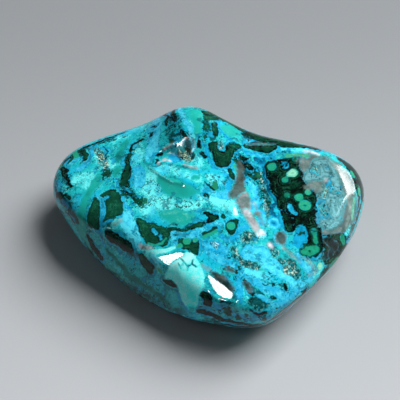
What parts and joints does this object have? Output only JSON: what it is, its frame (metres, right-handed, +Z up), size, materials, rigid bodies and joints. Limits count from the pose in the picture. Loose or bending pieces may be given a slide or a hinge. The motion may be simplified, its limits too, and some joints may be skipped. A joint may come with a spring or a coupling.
{
  "type": "polished chrysocolla specimen",
  "caption": "Freeform polished stone of turquoise chrysocolla and dark green malachite, with a domed crown, a rounded girdle and a small flat foot it rests on.",
  "frame": {"origin": "on the plane of the ground foot, under the middle of the stone's bounding box", "axes": "+Z up from the foot to the crown, +X along the stone's length towards the broad right lobe, +Y towards the knob at its back edge"},
  "size_m": [0.095, 0.073, 0.0342],
  "materials": {
    "polished_chrysocolla": "high polish, with small unpolished natural pits"
  },
  "bodies": {
    "root": {"chrysocolla_stone": "polished_chrysocolla"}
  },
  "joints": []
}
